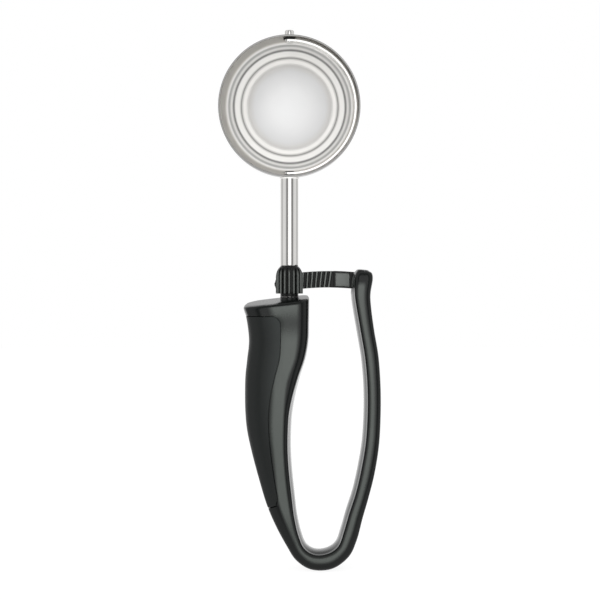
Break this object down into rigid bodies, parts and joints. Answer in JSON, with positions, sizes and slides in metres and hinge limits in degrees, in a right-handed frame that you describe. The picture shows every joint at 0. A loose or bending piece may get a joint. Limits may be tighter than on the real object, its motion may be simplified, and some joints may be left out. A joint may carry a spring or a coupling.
{
  "type": "lever ice cream scoop",
  "caption": "Squeeze-handled ice cream disher: steel hemispherical bowl with a sweep blade turned by a rack and pinion from a one-piece plastic grip loop.",
  "frame": {"origin": "centre of the bowl's opening, in the plane of its rim", "axes": "+Z along the shank from the handle towards the bowl's tip, -Y the way the bowl opens, +X the side of the squeeze lever"},
  "size_m": [0.0806, 0.0474, 0.2679],
  "materials": {
    "bowl_steel": "polished",
    "blade_steel": "polished",
    "shank_steel": "polished",
    "grip_plastic": "satin",
    "pad_rubber": "matte",
    "pinion_plastic": "satin",
    "washer_nylon": "satin",
    "bearing_nylon": "satin"
  },
  "bodies": {
    "handle": {"bowl": "bowl_steel", "shank_collar": "shank_steel", "shank_tube": "shank_steel", "upper_bush": "bearing_nylon", "tube_plug": "bearing_nylon", "anchor_pin": "shank_steel", "thrust_washer": "washer_nylon", "handle_body": "grip_plastic", "grip_pad": "pad_rubber"},
    "lever": {"lever_arm": "grip_plastic", "rack_strip": "grip_plastic"},
    "sweep": {"spindle": "shank_steel", "sweep_blade": "blade_steel", "blade_rivet_washer": "shank_steel", "top_pivot_rivet": "shank_steel", "pivot_washers": "washer_nylon", "pinion": "pinion_plastic", "drive_key": "shank_steel"}
  },
  "joints": [
    {"name": "lever_flex", "type": "hinge", "parent": "handle", "child": "lever", "pos_m": [0.02, 0.005, -0.22365], "axis": [0, -1, 0], "range_deg": [0, 8], "stiffness_Nm_per_rad": 12},
    {"name": "sweep_turn", "type": "hinge", "parent": "handle", "child": "sweep", "pos_m": [0, 0.005, 0], "axis": [0, 0, 1], "range_deg": [0, 180.5]}
  ],
  "couplings": [
    {"joint": "sweep_turn", "follows": "lever_flex", "ratio": 22.5}
  ]
}
